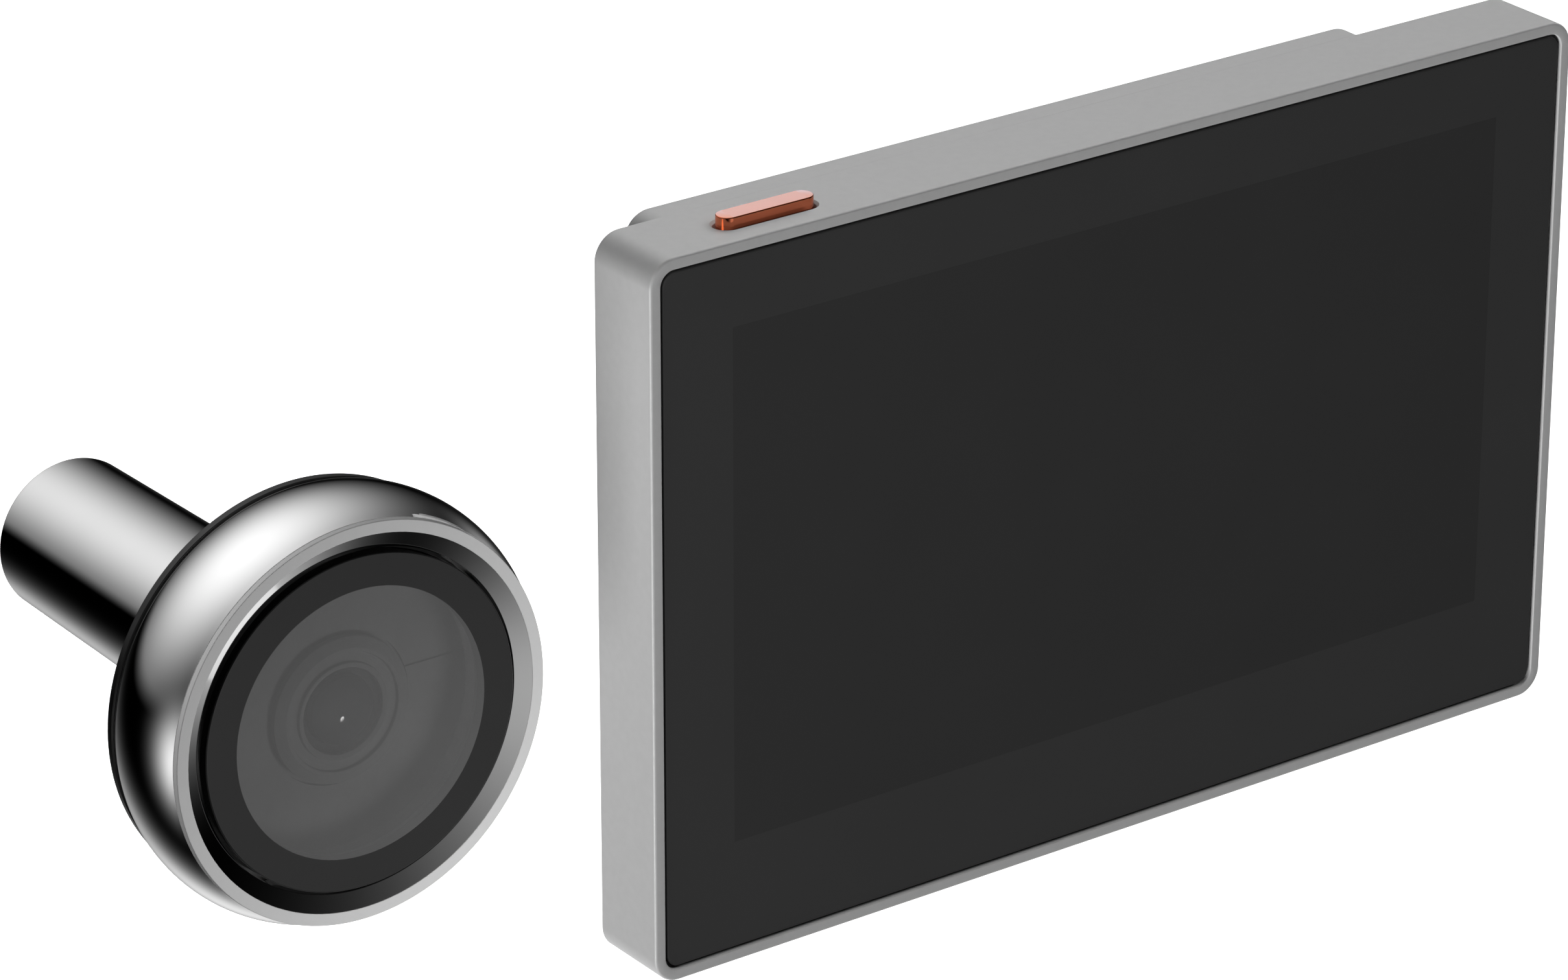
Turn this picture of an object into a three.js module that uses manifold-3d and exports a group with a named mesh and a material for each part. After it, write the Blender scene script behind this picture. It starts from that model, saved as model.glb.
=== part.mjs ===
// Video doorbell: an outdoor camera head on a chrome barrel, and an indoor touch monitor on a door plate.
// Millimetres, +Z up, fronts face -Y. The origin is the middle of the door plate's back face.
// Inside the two product groups, y is the depth behind that product's front plane.
import * as THREE from "three";
import { mergeVertices } from "three/addons/utils/BufferGeometryUtils.js";
import Module from "manifold-3d";

const wasm = await Module();
wasm.setup();

// ---- driving dimensions: monitor ----
const OPENING_W = 129; // the frame's opening, which the glass fills
const OPENING_H = 84.4;
const OPENING_R = 1.8; // its corner radius
const WALL = 1.4; // thickness of the frame's wall, which is also the bezel's width
const FRAME_R = 3.2; // outer corner radius
const FRAME_D = 10.5; // depth of the aluminium frame
const REAR_D = 14; // depth to the back of the rear cover's step
const STEP_W = 103.9; // width of that step
const STEP_X = -7.85; // its middle, from the middle of the monitor
const SEAM = 0.1; // seam between the frame and the step
const GLASS_GAP = 0.4; // black gap round the glass
const LEDGE_W = 3; // ledge that the glass is glued to
const LEDGE_Y0 = 1.9;
const LEDGE_Y1 = 2.9;
const SCREEN_UP = 1.8; // the display sits above the middle
const POCKET = { w: 73.3, h: 65.2, up: -3.9, floor: 11.7 }; // pocket in the back for the door plate
const SKIN = 1.4; // wall of the rear cover
const BOSS = { x: 62.1, z: 36.2, r: 2.2 }; // case screws, in the frame's corners

// ---- driving dimensions: door plate ----
const PLATE = { w: 72, h: 56, r: 4, t: 1.8 };
const BACK_Y = REAR_D + 0.2; // depth of the plate's back, which is y = 0 in the part's frame
const STUD = { x: 28, z: 20, neck: 1.6, head: 3, collar: 2.6, shank: 1.5 };
const LIFT = 8; // the monitor lifts this far to come off the studs
const CABLE_HOLE = { r: 7.5, up: 13.5 };

// ---- driving dimensions: call button, in the monitor's top wall ----
const BUTTON = { w: 12.4, t: 2.6, x: -47.4, y: 4.7, proud: 1.2, clear: 0.3 };

// ---- driving dimensions: outdoor head, a turned body whose axis is Y ----
const HEAD_X = -95.85;
const RING_R = 23.1;
const RING_NECK_R = 22.5; // the part of the ring that sits inside the body
const RING_IN = 21.7;
const TRIM_IN = 19.8; // the trim slopes in from the ring to here
const TRIM_Y = 0.45;
const GLASS_R = 19.35;
const WINDOW_R = 15.6;
const RING_Y = -0.4; // the ring stands a little forward of the monitor's front
const GLASS_Y0 = -0.1;
const GLASS_Y1 = 1.3;
const MASK_Y1 = 2.1;
const BULGE_R = 24.75; // the chrome body at its widest
const BULGE_Y = 6.4;
const SHELL_Y0 = 0.35;
const SHELL_Y1 = 11.6;
const FLANGE_R = 23.8;
const FLANGE_Y1 = 12.7;
const GASKET_Y1 = 13.5;
const BARREL_R = 9.75; // tapers slightly to its end
const BARREL_END_R = 9.1;
const BARREL_BORE = 7.6;
const BARREL_Y1 = 61;
const BELL_TRAVEL = 0.6;
const FLANGE_SCREW_R = 15; // radius of the circle that the flange's screws lie on

const ROUND = 40; // sides of the large turned pieces
const SMALL = 12; // sides of the small ones
const GAP = 0.05; // clearance between pieces that touch

// ---- finishes ----
const finish = (color, metalness, roughness, extra = {}) =>
  new THREE.MeshStandardMaterial({ color, metalness, roughness, ...extra });
const satinAluminium = finish(0xa9a9ab, 1, 0.38);
const chrome = finish(0xdcdcdc, 1, 0.06);
const copper = finish(0xc98a6a, 1, 0.22);
const blackGlass = finish(0x2b2b2d, 0, 0.08);
const smokedGlass = finish(0x55575a, 0, 0.05, { transparent: true, opacity: 0.5 });
const clearGlass = finish(0x99a0a8, 0, 0.03, { transparent: true, opacity: 0.4 });
const blackPlastic = finish(0x1c1c1e, 0, 0.5);
const darkMetal = finish(0x55565a, 1, 0.4);
const steel = finish(0x9a9b9d, 1, 0.3);
const brass = finish(0xb59a55, 1, 0.3);
const rubber = finish(0x161617, 0, 0.8);
const board = finish(0x1f4a33, 0, 0.5);
const foil = finish(0xb9bcc0, 1, 0.5);

// ---- geometry helpers ----
function solidOf(geometry) {
  const plain = geometry.clone();
  plain.deleteAttribute("normal");
  plain.deleteAttribute("uv");
  const merged = mergeVertices(plain, 1e-4);
  return new wasm.Manifold(
    new wasm.Mesh({
      numProp: 3,
      vertProperties: new Float32Array(merged.attributes.position.array),
      triVerts: new Uint32Array(merged.index.array),
    }),
  );
}

function geometryOf(solid) {
  const mesh = solid.getMesh();
  const points = new Float32Array(mesh.numVert * 3);
  for (let i = 0; i < mesh.numVert; i++) {
    points.set(mesh.vertProperties.subarray(i * mesh.numProp, i * mesh.numProp + 3), i * 3);
  }
  const geometry = new THREE.BufferGeometry();
  geometry.setAttribute("position", new THREE.BufferAttribute(points, 3));
  geometry.setIndex(new THREE.BufferAttribute(mesh.triVerts, 1));
  const faceted = geometry.toNonIndexed();
  faceted.computeVertexNormals();
  return faceted;
}

// base joined with every solid of add, then cut by every solid of cut
function shaped(base, add = [], cut = []) {
  let solid = solidOf(base);
  for (const geometry of add) solid = solid.add(solidOf(geometry));
  for (const geometry of cut) solid = solid.subtract(solidOf(geometry));
  return geometryOf(solid);
}

function roundedRect(w, h, radius) {
  const shape = new THREE.Shape();
  const r = Math.min(radius, w / 2 - 0.01, h / 2 - 0.01); // a pill keeps a hair of straight side
  const x = w / 2;
  const z = h / 2;
  shape.moveTo(r - x, -z);
  shape.lineTo(x - r, -z);
  shape.absarc(x - r, r - z, r, -Math.PI / 2, 0);
  shape.lineTo(x, z - r);
  shape.absarc(x - r, z - r, r, 0, Math.PI / 2);
  shape.lineTo(r - x, z);
  shape.absarc(r - x, z - r, r, Math.PI / 2, Math.PI);
  shape.lineTo(-x, r - z);
  shape.absarc(r - x, r - z, r, Math.PI, 1.5 * Math.PI);
  return shape;
}

// a rounded rectangle in X and Z, from depth y0 to y1, with its middle at (x, z)
function slab(w, h, r, y0, y1, x = 0, z = 0, arcSteps = 3) {
  const geometry = new THREE.ExtrudeGeometry(roundedRect(w, h, r), {
    depth: y1 - y0,
    bevelEnabled: false,
    curveSegments: arcSteps,
  });
  return geometry.rotateX(Math.PI / 2).translate(x, y1, z);
}

// the same rounded rectangle in X and Y, from height z0 to z1, with its middle at (x, y)
function upright(w, t, r, z0, z1, x, y, arcSteps = 5) {
  const geometry = new THREE.ExtrudeGeometry(roundedRect(w, t, r), {
    depth: z1 - z0,
    bevelEnabled: false,
    curveSegments: arcSteps,
  });
  return geometry.translate(x, y, z0);
}

function block(w, d, h, x, y, z) {
  return new THREE.BoxGeometry(w, d, h).translate(x, y, z);
}

// a solid of revolution about Y; the profile runs counter-clockwise in (radius, depth)
function turned(profile, sides = ROUND, x = 0, z = 0) {
  const points = profile.map(([r, y]) => new THREE.Vector2(r, y));
  return new THREE.LatheGeometry(points, sides).translate(x, 0, z);
}

function disc(r, y0, y1, x = 0, z = 0, sides = SMALL) {
  return turned([[0, y0], [r, y0], [r, y1], [0, y1]], sides, x, z);
}

function ring(inner, outer, y0, y1, sides = ROUND) {
  return turned([[inner, y0], [outer, y0], [outer, y1], [inner, y1], [inner, y0]], sides);
}

function piece(group, name, geometry, material) {
  const mesh = new THREE.Mesh(geometry, material);
  mesh.name = name;
  group.add(mesh);
  return mesh;
}

// positions (sx, sz) of four corners, in a fixed order
const CORNERS = [[-1, -1], [1, -1], [1, 1], [-1, 1]];

// ---- door plate, fixed to the door; depths are measured from the monitor's front ----
function doorPlate() {
  const group = new THREE.Group();
  group.position.y = -BACK_Y;
  const front = BACK_Y - PLATE.t;
  const holes = CORNERS.map(([sx, sz]) =>
    disc(STUD.shank + GAP, front - 1, BACK_Y + 1, sx * STUD.x, sz * STUD.z),
  );
  holes.push(disc(CABLE_HOLE.r, front - 1, BACK_Y + 1, 0, CABLE_HOLE.up, 24));
  const screwX = 18;
  const screwZ = -12;
  for (const side of [-1, 1]) {
    holes.push(disc(1.6, front - 1, BACK_Y + 1, side * screwX, screwZ));
  }
  const plate = slab(PLATE.w, PLATE.h, PLATE.r, front, BACK_Y);
  piece(group, "door_plate", shaped(plate, [], holes), steel);

  CORNERS.forEach(([sx, sz], i) => {
    const profile = [
      [0, 8.5], [STUD.head, 8.5], [STUD.head, 9.9], [STUD.neck, 9.9], [STUD.neck, front - 0.55],
      [STUD.collar, front - 0.55], [STUD.collar, front - GAP], [STUD.shank, front - GAP],
      [STUD.shank, BACK_Y - 0.1], [0, BACK_Y - 0.1],
    ];
    piece(group, `hook_stud_${i + 1}`, turned(profile, SMALL, sx * STUD.x, sz * STUD.z), steel);
  });

  for (const [side, name] of [[-1, "left"], [1, "right"]]) {
    const profile = [
      [0, front - 0.6], [2.4, front - 0.6], [2.7, front - GAP], [1.5, front - GAP],
      [1.5, BACK_Y + 9], [0, BACK_Y + 11],
    ];
    piece(group, `plate_screw_${name}`, turned(profile, SMALL, side * screwX, screwZ), steel);
  }
  return group;
}

// ---- monitor: casing ----
function frontFrame() {
  const outer = slab(OPENING_W + 2 * WALL, OPENING_H + 2 * WALL, FRAME_R, 0, FRAME_D);
  const hollow = slab(OPENING_W, OPENING_H, OPENING_R, -1, FRAME_D + 1);
  const inside = slab(OPENING_W - 2 * LEDGE_W, OPENING_H - 2 * LEDGE_W, OPENING_R, LEDGE_Y0 - 1, LEDGE_Y1 + 1);
  const ledge = shaped(slab(OPENING_W + 1, OPENING_H + 1, OPENING_R, LEDGE_Y0, LEDGE_Y1), [], [inside]);
  const bosses = CORNERS.map(([sx, sz]) => disc(BOSS.r, LEDGE_Y1 - 0.5, 8.9, sx * BOSS.x, sz * BOSS.z));
  const threads = CORNERS.map(([sx, sz]) => disc(0.85, 4, 10, sx * BOSS.x, sz * BOSS.z, 12));
  const top = OPENING_H / 2;
  const cuts = [
    upright(BUTTON.w + 2 * BUTTON.clear, BUTTON.t + 2 * BUTTON.clear, BUTTON.t, top - 1, top + WALL + 1,
      BUTTON.x, BUTTON.y),
    upright(9.4, 3.4, 1.7, -top - WALL - 1, -top + 1, 36, 5.8, 3),
    upright(1.2, 1.2, 0.6, -top - WALL - 1, -top + 1, -4, 5.5, 2),
  ];
  for (let i = 0; i < 6; i++) {
    cuts.push(upright(1.2, 5, 0.6, -top - WALL - 1, -top + 1, -52 + 3 * i, 6, 1));
  }
  // the opening leaves only the wall, so the ledge and the bosses are joined after it is cut
  const wall = shaped(outer, [], [hollow]);
  return shaped(wall, [ledge, ...bosses], [...threads, ...cuts]);
}

function rearCover() {
  const lid = slab(OPENING_W - 0.3, OPENING_H - 0.3, OPENING_R, 9, FRAME_D);
  const middle = slab(STEP_W - 1, OPENING_H - 0.3, OPENING_R, 9, REAR_D - 1, STEP_X);
  const step = slab(STEP_W, OPENING_H + 2 * WALL, FRAME_R, FRAME_D + SEAM, REAR_D, STEP_X);
  const cavity = slab(STEP_W - 2 * SKIN, OPENING_H - 2 * SKIN - 0.3, 1.2, 8, REAR_D - SKIN, STEP_X);
  const tray = shaped(lid, [middle, step], [cavity]);
  const pocketBox = slab(POCKET.w + 2 * SKIN, POCKET.h + 2 * SKIN, 3, POCKET.floor - 1.5, REAR_D - 0.4,
    STEP_X, POCKET.up);
  const pocket = slab(POCKET.w, POCKET.h, 2, POCKET.floor, REAR_D + 1, STEP_X, POCKET.up);
  const cuts = [pocket];
  for (const [sx, sz] of CORNERS) {
    const x = STEP_X + sx * STUD.x;
    const z = sz * STUD.z;
    const slot = STUD.neck + 0.15;
    cuts.push(disc(slot, 9.5, POCKET.floor + 1, x, z));
    cuts.push(block(2 * slot, POCKET.floor - 8.5, LIFT, x, (9.5 + POCKET.floor + 1) / 2, z - LIFT / 2));
    cuts.push(disc(STUD.head + 0.3, 9.5, POCKET.floor + 1, x, z - LIFT));
    cuts.push(disc(1.05, 8, FRAME_D + 1, sx * BOSS.x, sz * BOSS.z, 12));
    cuts.push(disc(1.7, FRAME_D - 0.7, FRAME_D + 1, sx * BOSS.x, sz * BOSS.z));
  }
  cuts.push(slab(15, 10, 2, 9.5, POCKET.floor + 1, STEP_X, CABLE_HOLE.up));
  return shaped(tray, [pocketBox], cuts);
}

// ---- monitor: display, electronics and button ----
function monitor() {
  const group = new THREE.Group();
  group.position.set(-STEP_X, -BACK_Y, 0);
  const top = OPENING_H / 2;
  const glassW = OPENING_W - 2 * GLASS_GAP;
  const glassH = OPENING_H - 2 * GLASS_GAP;

  piece(group, "front_frame", frontFrame(), satinAluminium);
  piece(group, "rear_cover", rearCover(), satinAluminium);
  piece(group, "touch_glass", slab(glassW, glassH, OPENING_R - GLASS_GAP, 0.2, 1.45), blackGlass);
  const gasketHole = slab(glassW - 2 * LEDGE_W + 1, glassH - 2 * LEDGE_W + 1, 1, 1, 3);
  piece(group, "glass_gasket", shaped(slab(glassW - 0.4, glassH - 0.4, 1, 1.5, 1.85), [], [gasketHole]), rubber);
  piece(group, "lcd_panel", slab(116, 69, 0.6, 2, 3.4, 0, SCREEN_UP, 1), blackGlass);
  piece(group, "lcd_frame", slab(117, 70, 1, 3.45, 4.6, 0, SCREEN_UP, 2), foil);

  const boardX = 43;
  piece(group, "main_board", slab(35, 66, 1, 5.6, 6.8, boardX, -0.5, 2), board);
  piece(group, "board_spacer_tape", slab(32, 62, 0.5, 4.7, 5.5, boardX, -0.5, 1), rubber);
  piece(group, "shield_can", slab(22, 24, 0.8, 6.85, 8.5, boardX, 8, 2), foil);
  piece(group, "ribbon_socket", slab(12, 4.4, 0.4, 6.85, 8.3, boardX - 8, 26, 1), blackPlastic);
  piece(group, "display_connector", slab(10, 3.2, 0.3, 6.85, 8.1, boardX + 6, -16, 1), blackPlastic);
  piece(group, "battery_pack", slab(46, 62, 2, 5.1, 8.2, STEP_X, 0, 3), foil);
  piece(group, "battery_tape", slab(40, 56, 1, 4.65, 5.05, STEP_X, 0, 1), rubber);
  piece(group, "speaker", slab(23, 6.4, 1, 3.8, 8.4, -44.5, -37.6, 2), blackPlastic);
  piece(group, "speaker_gasket", upright(22, 4.2, 1, -41.75, -40.9, -44.5, 6, 2), rubber);
  piece(group, "microphone", block(3.6, 2.6, 2.2, -4, 5.5, -top + 1.4), steel);
  piece(group, "usb_port", upright(8.9, 3, 1.4, -top + 0.2, -top + 7.2, 36, 5.8, 3), steel);
  piece(group, "wifi_antenna", slab(38, 3.2, 0.4, 6.2, 6.7, 16, 39.4, 1), brass);

  const buttonTop = top + WALL + BUTTON.proud;
  const lip = upright(BUTTON.w + 3, BUTTON.t, BUTTON.t, top - 1.1, top - 0.15, BUTTON.x, BUTTON.y);
  const cap = upright(BUTTON.w, BUTTON.t, BUTTON.t, top - 0.5, buttonTop, BUTTON.x, BUTTON.y);
  piece(group, "call_button", shaped(cap, [lip]), copper);
  piece(group, "call_switch", block(6, 3.4, 1.8, BUTTON.x, BUTTON.y, top - 3), blackPlastic);
  piece(group, "switch_board", block(14, 4.6, 0.8, BUTTON.x, BUTTON.y + 0.6, top - 4.4), board);

  CORNERS.forEach(([sx, sz], i) => {
    const profile = [
      [0, 5], [0.8, 5], [0.8, FRAME_D - 0.75], [0.9, FRAME_D - 0.65], [1.55, FRAME_D - 0.65],
      [1.55, FRAME_D - 0.05], [0, FRAME_D - 0.05],
    ];
    piece(group, `case_screw_${i + 1}`, turned(profile, 12, sx * BOSS.x, sz * BOSS.z), steel);
  });
  return group;
}

// ---- outdoor unit: head ----
// calls make(x, z) for each of the screws that hold the flange to the shell
function flangeScrews(make) {
  return [0, 1, 2].map((i) => {
    const angle = Math.PI / 2 + (2 * Math.PI * i) / 3;
    return make(FLANGE_SCREW_R * Math.cos(angle), FLANGE_SCREW_R * Math.sin(angle), i);
  });
}

function headShell() {
  // the outside is one arc from the ring, over the widest place, to the back
  const half = BULGE_Y - SHELL_Y0;
  const drop = BULGE_R - RING_R - GAP;
  const arcR = (half * half + drop * drop) / (2 * drop);
  const arcSteps = 8;
  const outside = [];
  for (let i = 0; i <= arcSteps; i++) {
    const y = SHELL_Y0 + ((SHELL_Y1 - SHELL_Y0) * i) / arcSteps;
    outside.push([BULGE_R - arcR + Math.sqrt(arcR * arcR - (y - BULGE_Y) ** 2), y]);
  }
  const shell = turned([
    ...outside,
    [BARREL_R + 0.1, SHELL_Y1], [BARREL_R + 0.1, 10], [20.4, 10], [20.4, 4.5],
    [21.4, 3.2], [RING_NECK_R + GAP, 3.2], [RING_NECK_R + GAP, SHELL_Y0], outside[0],
  ]);
  return shaped(shell, [], flangeScrews((x, z) => disc(0.95, 9, SHELL_Y1 + 1, x, z)));
}

function outdoorUnit() {
  const group = new THREE.Group();
  group.position.set(HEAD_X, -BACK_Y, 0);
  piece(group, "head_shell", headShell(), chrome);
  const ringFront = [[RING_IN, RING_Y + 0.1], [RING_IN + 0.1, RING_Y], [RING_R - 0.1, RING_Y], [RING_R, RING_Y + 0.1]];
  piece(group, "front_ring", turned([
    ...ringFront, [RING_R, SHELL_Y0 - GAP], [RING_NECK_R, SHELL_Y0 - GAP], [RING_NECK_R, 3.1], [RING_IN, 3.1],
    ringFront[0],
  ]), satinAluminium);
  piece(group, "polished_trim", turned([
    [TRIM_IN, TRIM_Y], [RING_IN - GAP, RING_Y + 0.1], [RING_IN - GAP, 3.1], [TRIM_IN, 3.1], [TRIM_IN, TRIM_Y],
  ]), chrome);
  piece(group, "face_seal", ring(17.4, 19.6, MASK_Y1 + BELL_TRAVEL + 0.3, 4.4), rubber);
  piece(group, "lens_carrier", turned([
    [5.8, 4.6], [20.2, 4.6], [20.2, 6], [5.8, 6], [5.8, 4.6],
  ]), blackPlastic);
  piece(group, "lens_bezel", turned([
    [5, 3.4], [8.5, 3.4], [8.5, 4.5], [5.6, 4.5], [5, 3.4],
  ], 24), darkMetal);
  piece(group, "lens_barrel", ring(4.1, 5.7, 4.6, 8.2, 24), blackPlastic);
  piece(group, "front_lens", turned([
    [0, 3], [2.4, 3.3], [3.9, 4.2], [4, 4.7], [4, 5.4], [0, 5.4],
  ], 24), clearGlass);
  piece(group, "rear_lens", turned([[0, 6.2], [3.4, 6.6], [3.4, 7.4], [0, 7.9]], SMALL), clearGlass);
  piece(group, "image_sensor", slab(6.6, 5.6, 0.3, 8.25, 8.7, 0, 0, 1), blackGlass);
  piece(group, "sensor_board", disc(19.4, 8.8, 9.9, 0, 0, 24), board);
  // a ring of membrane switch, which the mask reaches at the end of the bell's travel
  piece(group, "bell_switch", ring(16.3, 17.3, MASK_Y1 + BELL_TRAVEL + GAP, 4.6 - GAP), blackPlastic);
  const flange = ring(BARREL_R + 0.1, FLANGE_R, SHELL_Y1 + GAP, FLANGE_Y1);
  const sunk = flangeScrews((x, z) => disc(1.7, SHELL_Y1, FLANGE_Y1 + 1, x, z, 12));
  piece(group, "back_flange", shaped(flange, [], sunk), darkMetal);
  piece(group, "door_gasket", ring(BARREL_R + 0.1, FLANGE_R - 0.7, FLANGE_Y1 + GAP, GASKET_Y1), rubber);
  // each head is sunk in the flange, and the shank runs into the shell's back wall
  flangeScrews((x, z, i) => {
    const profile = [
      [0, 10.1], [0.9, 10.1], [0.9, FLANGE_Y1 - 0.55], [1.6, FLANGE_Y1 - 0.55], [1.6, FLANGE_Y1 - 0.05],
      [0, FLANGE_Y1 - 0.05],
    ];
    piece(group, `flange_screw_${i + 1}`, turned(profile, 12, x, z), steel);
  });
  return group;
}

// ---- outdoor unit: barrel, which goes through the door ----
function barrel() {
  const group = new THREE.Group();
  group.position.set(HEAD_X, -BACK_Y, 0);
  piece(group, "barrel_tube", turned([
    [BARREL_BORE, 10.1], [BARREL_R, 10.1], [BARREL_R, GASKET_Y1], [BARREL_END_R, BARREL_Y1 - 0.6],
    [BARREL_END_R - 0.6, BARREL_Y1], [BARREL_BORE, BARREL_Y1], [BARREL_BORE, 10.1],
  ]), chrome);
  piece(group, "threaded_insert", ring(4.4, BARREL_BORE - GAP, BARREL_Y1 - 7, BARREL_Y1 - 1.2, 24), brass);
  return group;
}

// ---- bell face: the window glass, which is pressed to ring ----
function bellFace() {
  const group = new THREE.Group();
  group.position.set(HEAD_X, -BACK_Y, 0);
  piece(group, "window_glass", turned([
    [0, GLASS_Y0], [GLASS_R - 0.2, GLASS_Y0], [GLASS_R, GLASS_Y0 + 0.2], [GLASS_R, GLASS_Y1], [0, GLASS_Y1],
  ]), smokedGlass);
  piece(group, "mask_ring", ring(WINDOW_R, GLASS_R - 0.2, GLASS_Y1 + GAP, MASK_Y1), blackPlastic);
  return group;
}

const doorbell = new THREE.Group();
doorbell.add(doorPlate(), monitor(), outdoorUnit(), barrel(), bellFace());
export default doorbell;
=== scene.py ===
"""Video doorbell: fine surfaces, materials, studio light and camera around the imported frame.

Metres, +Z up, fronts face -Y. Sizes in the tables below are millimetres and go through MM.
"""

import math

import bmesh
import bpy
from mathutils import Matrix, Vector


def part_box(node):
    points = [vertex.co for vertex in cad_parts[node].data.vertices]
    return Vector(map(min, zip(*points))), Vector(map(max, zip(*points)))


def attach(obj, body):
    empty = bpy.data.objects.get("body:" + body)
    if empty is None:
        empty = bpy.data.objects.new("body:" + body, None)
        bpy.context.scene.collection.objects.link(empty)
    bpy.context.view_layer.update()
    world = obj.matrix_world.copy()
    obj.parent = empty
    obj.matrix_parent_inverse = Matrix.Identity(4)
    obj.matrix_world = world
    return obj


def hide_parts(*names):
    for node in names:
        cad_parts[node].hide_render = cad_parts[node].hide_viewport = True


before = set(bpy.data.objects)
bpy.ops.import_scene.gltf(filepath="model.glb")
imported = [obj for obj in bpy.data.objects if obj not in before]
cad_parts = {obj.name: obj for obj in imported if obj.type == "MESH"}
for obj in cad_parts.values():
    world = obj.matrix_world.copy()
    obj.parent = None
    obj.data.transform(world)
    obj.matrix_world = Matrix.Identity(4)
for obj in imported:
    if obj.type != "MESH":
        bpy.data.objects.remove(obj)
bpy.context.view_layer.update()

MM = 0.001

# ---- places, all from the frame ----
FRAME_LOW, FRAME_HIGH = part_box("front_frame")
FRONT_Y = FRAME_LOW[1]
MON_X = (FRAME_LOW[0] + FRAME_HIGH[0]) / 2
FRAME_W = FRAME_HIGH[0] - FRAME_LOW[0]
FRAME_H = FRAME_HIGH[2] - FRAME_LOW[2]
FRAME_D = FRAME_HIGH[1] - FRAME_LOW[1]
REAR_LOW, REAR_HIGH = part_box("rear_cover")
PLATE_LOW, PLATE_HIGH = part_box("door_plate")
RING_LOW, RING_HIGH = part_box("front_ring")
HEAD_X = (RING_LOW[0] + RING_HIGH[0]) / 2
STEP_X = (PLATE_LOW[0] + PLATE_HIGH[0]) / 2

# ---- monitor ----
WALL = 1.4 * MM
FRAME_R = 3.2 * MM
OPENING_R = 1.9 * MM
OPENING_W = FRAME_W - 2 * WALL
OPENING_H = FRAME_H - 2 * WALL
FRONT_FILLET = 0.3 * MM
GLASS_GAP = 0.34 * MM
ACTIVE_W = 109.8 * MM
ACTIVE_H = 62.3 * MM
ACTIVE_UP = 2.45 * MM
STEP_W = 103.9 * MM
POCKET_W = 73.3 * MM
POCKET_H = 65.2 * MM
POCKET_Z = -3.9 * MM
STUD_X = 28 * MM
STUD_Z = 20 * MM
LIFT = 8 * MM
CASE_SCREW_X = 62.1 * MM
CASE_SCREW_Z = 36.2 * MM

# ---- mesh fineness ----
ROUND = 160
SMALL_ROUND = 40
CORNER_STEPS = 12
SHARP_ANGLE = math.radians(32)

# ---- camera: where it looks, from the opening's lower left front corner ----
AIM = Vector((16.3, 0, 54.9)) * MM
CAMERA_AZIMUTH = math.radians(-36.0)
CAMERA_ELEVATION = math.radians(23.79)
CAMERA_DISTANCE = 741 * MM
CAMERA_LENS = 154.75
SENSOR_WIDTH = 36.0

# ---- studio: soft glows on the world as (longitude from +Y towards +X, latitude, strength, tightness) ----
OVERHEAD_GLOW = (-25, 60, 1.1, 3)
OTHER_GLOWS = {
    "left": (-95, -20, 1.0, 20),
    "floor_bounce": (20, -50, 0.8, 15),
    "front": (170, -20, 1.0, 15),
    "right": (75, -10, 1.2, 40),
    "glint": (90, -45, 0.6, 35),
}
HORIZON = (-0.1, 0.1)
FLOOR_Z = -0.45
FLOOR_SIZE = 8.0

# ---- studio: broad lamps as (where the light comes from, strength, angular size) ----
LEFT_LAMP = ((-0.78, -0.29, -0.58), 3.05, 35)
RIGHT_LAMP = ((0.60, 0.42, 0.62), 1.75, 35)
FRONT_LAMP = ((0.62, -0.25, 0.74), 1.4, 50)
COPPER_LAMP = ((0.537, 0.739, 0.407), 1.18, 50)
COPPER_LAMP_COLOR = (0.45, 0.76, 1.0)
COPPER_END_LAMP = ((-0.905, -0.16, -0.4035), 0.22, 26)
COPPER_END_COLOR = (1.0, 0.6, 0.3)
LENS_LAMP = ((0.413, -0.761, -0.500), 0.38, 4.2)
EDGE_LAMP = ((-0.829, -0.396, -0.4035), 0.45, 20)
TRIM_LAMP = ((0.719, 0.025, -0.695), 0.03, 20)
RING_LAMP = ((-0.65, 0.30, 0.62), 1.9, 60)

# ---- a near lamp low on the right, which shades the outdoor unit's face from left to right ----
HEAD_LAMP_AT = Vector((60, -100, -60)) * MM
HEAD_LAMP_SIZE = 60 * MM
HEAD_LAMP_POWER = 0.165
OUTDOOR_PIECES = {
    "head_body", "satin_ring", "polished_bevel", "flange_disc", "gasket_ring", "barrel_sleeve", "threaded_bush",
    "lens_plate", "lens_rings", "lens_tube", "front_element", "rear_element", "window_disc", "window_mask",
}


# ======================================================================================
# materials
# ======================================================================================
def new_material(name):
    material = bpy.data.materials.new(name)
    material.use_nodes = True
    nodes = material.node_tree.nodes
    return material, nodes, material.node_tree.links, nodes["Principled BSDF"]


def noise(nodes, links, scale, detail=3.0, stretch=None):
    """A noise texture in the object's own metres; stretch squeezes it along each axis."""
    place = nodes.new("ShaderNodeTexCoord")
    texture = nodes.new("ShaderNodeTexNoise")
    texture.inputs["Scale"].default_value = scale
    texture.inputs["Detail"].default_value = detail
    source = place.outputs["Object"]
    if stretch:
        mapping = nodes.new("ShaderNodeMapping")
        mapping.inputs["Scale"].default_value = stretch
        links.new(source, mapping.inputs["Vector"])
        source = mapping.outputs["Vector"]
    links.new(source, texture.inputs["Vector"])
    return texture


def ramp(nodes, links, source, low, high, start=0.35, end=0.65):
    node = nodes.new("ShaderNodeValToRGB")
    node.color_ramp.elements[0].position = start
    node.color_ramp.elements[1].position = end
    node.color_ramp.elements[0].color = low
    node.color_ramp.elements[1].color = high
    links.new(source, node.inputs["Fac"])
    return node


def grey(value):
    return (value, value, value, 1.0)


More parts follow.
